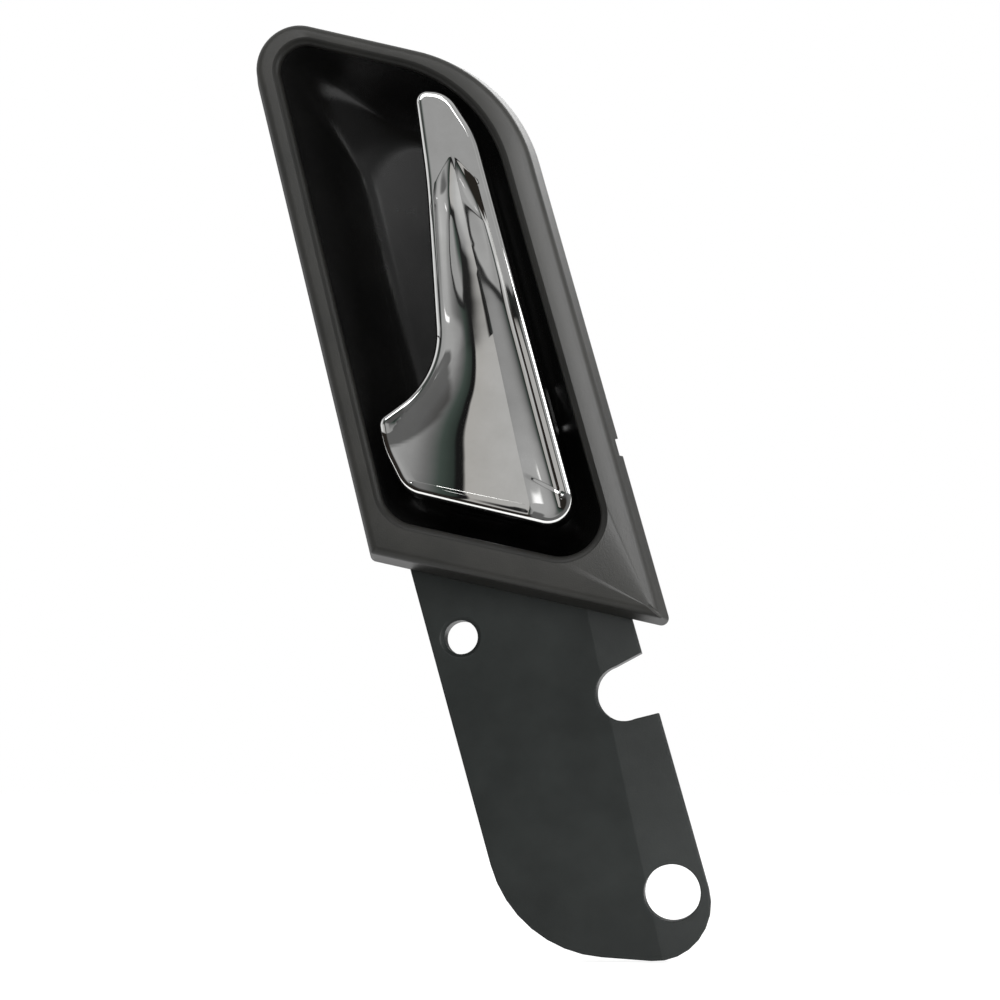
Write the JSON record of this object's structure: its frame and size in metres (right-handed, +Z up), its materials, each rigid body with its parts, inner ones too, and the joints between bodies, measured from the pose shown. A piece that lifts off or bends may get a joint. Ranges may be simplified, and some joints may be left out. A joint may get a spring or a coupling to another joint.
{
  "type": "car interior door handle",
  "caption": "Car interior door release: a plated pull lever, hinged and sprung, in a deep finger bowl, on a base plate with two fixing holes and a rear crank for a cable.",
  "frame": {"origin": "centre of the upper fixing hole, on the rear mounting face", "axes": "+X across the door to the right as seen from the cabin, +Y into the door, +Z up; the front faces -Y"},
  "size_m": [0.1249, 0.048, 0.2578],
  "materials": {
    "trim": "satin, fine grain",
    "base": "smooth satin",
    "plated": "bright chrome plating on plastic",
    "lever_plastic": "moulded black",
    "steel": "turned steel",
    "spring_steel": "drawn wire",
    "rubber": "matt",
    "screw_steel": "zinc plated",
    "foam": "open foam",
    "felt": "felt"
  },
  "bodies": {
    "housing": {"bezel": "trim", "finger_bowl": "trim", "base_plate": "base", "rear_frame": "base", "cable_bracket": "base", "pivot_pin": "steel", "pivot_clip": "steel", "return_spring": "spring_steel", "rest_buffer": "rubber", "stop_buffer": "rubber", "cover_screws": "screw_steel", "rim_foam": "foam", "felt_pads": "felt"},
    "lever": {"lever_shell": "plated", "lever_core": "lever_plastic", "hinge_arm": "lever_plastic", "crank_arm": "lever_plastic", "lever_screws": "screw_steel"}
  },
  "joints": [
    {"name": "lever_hinge", "type": "hinge", "parent": "housing", "child": "lever", "pos_m": [0.0055, -0.006, 0.052], "axis": [1, 0, 0], "range_deg": [0, 30], "stiffness_Nm_per_rad": 0.15, "springref_deg": -40.11, "deforming": ["return_spring"]}
  ]
}
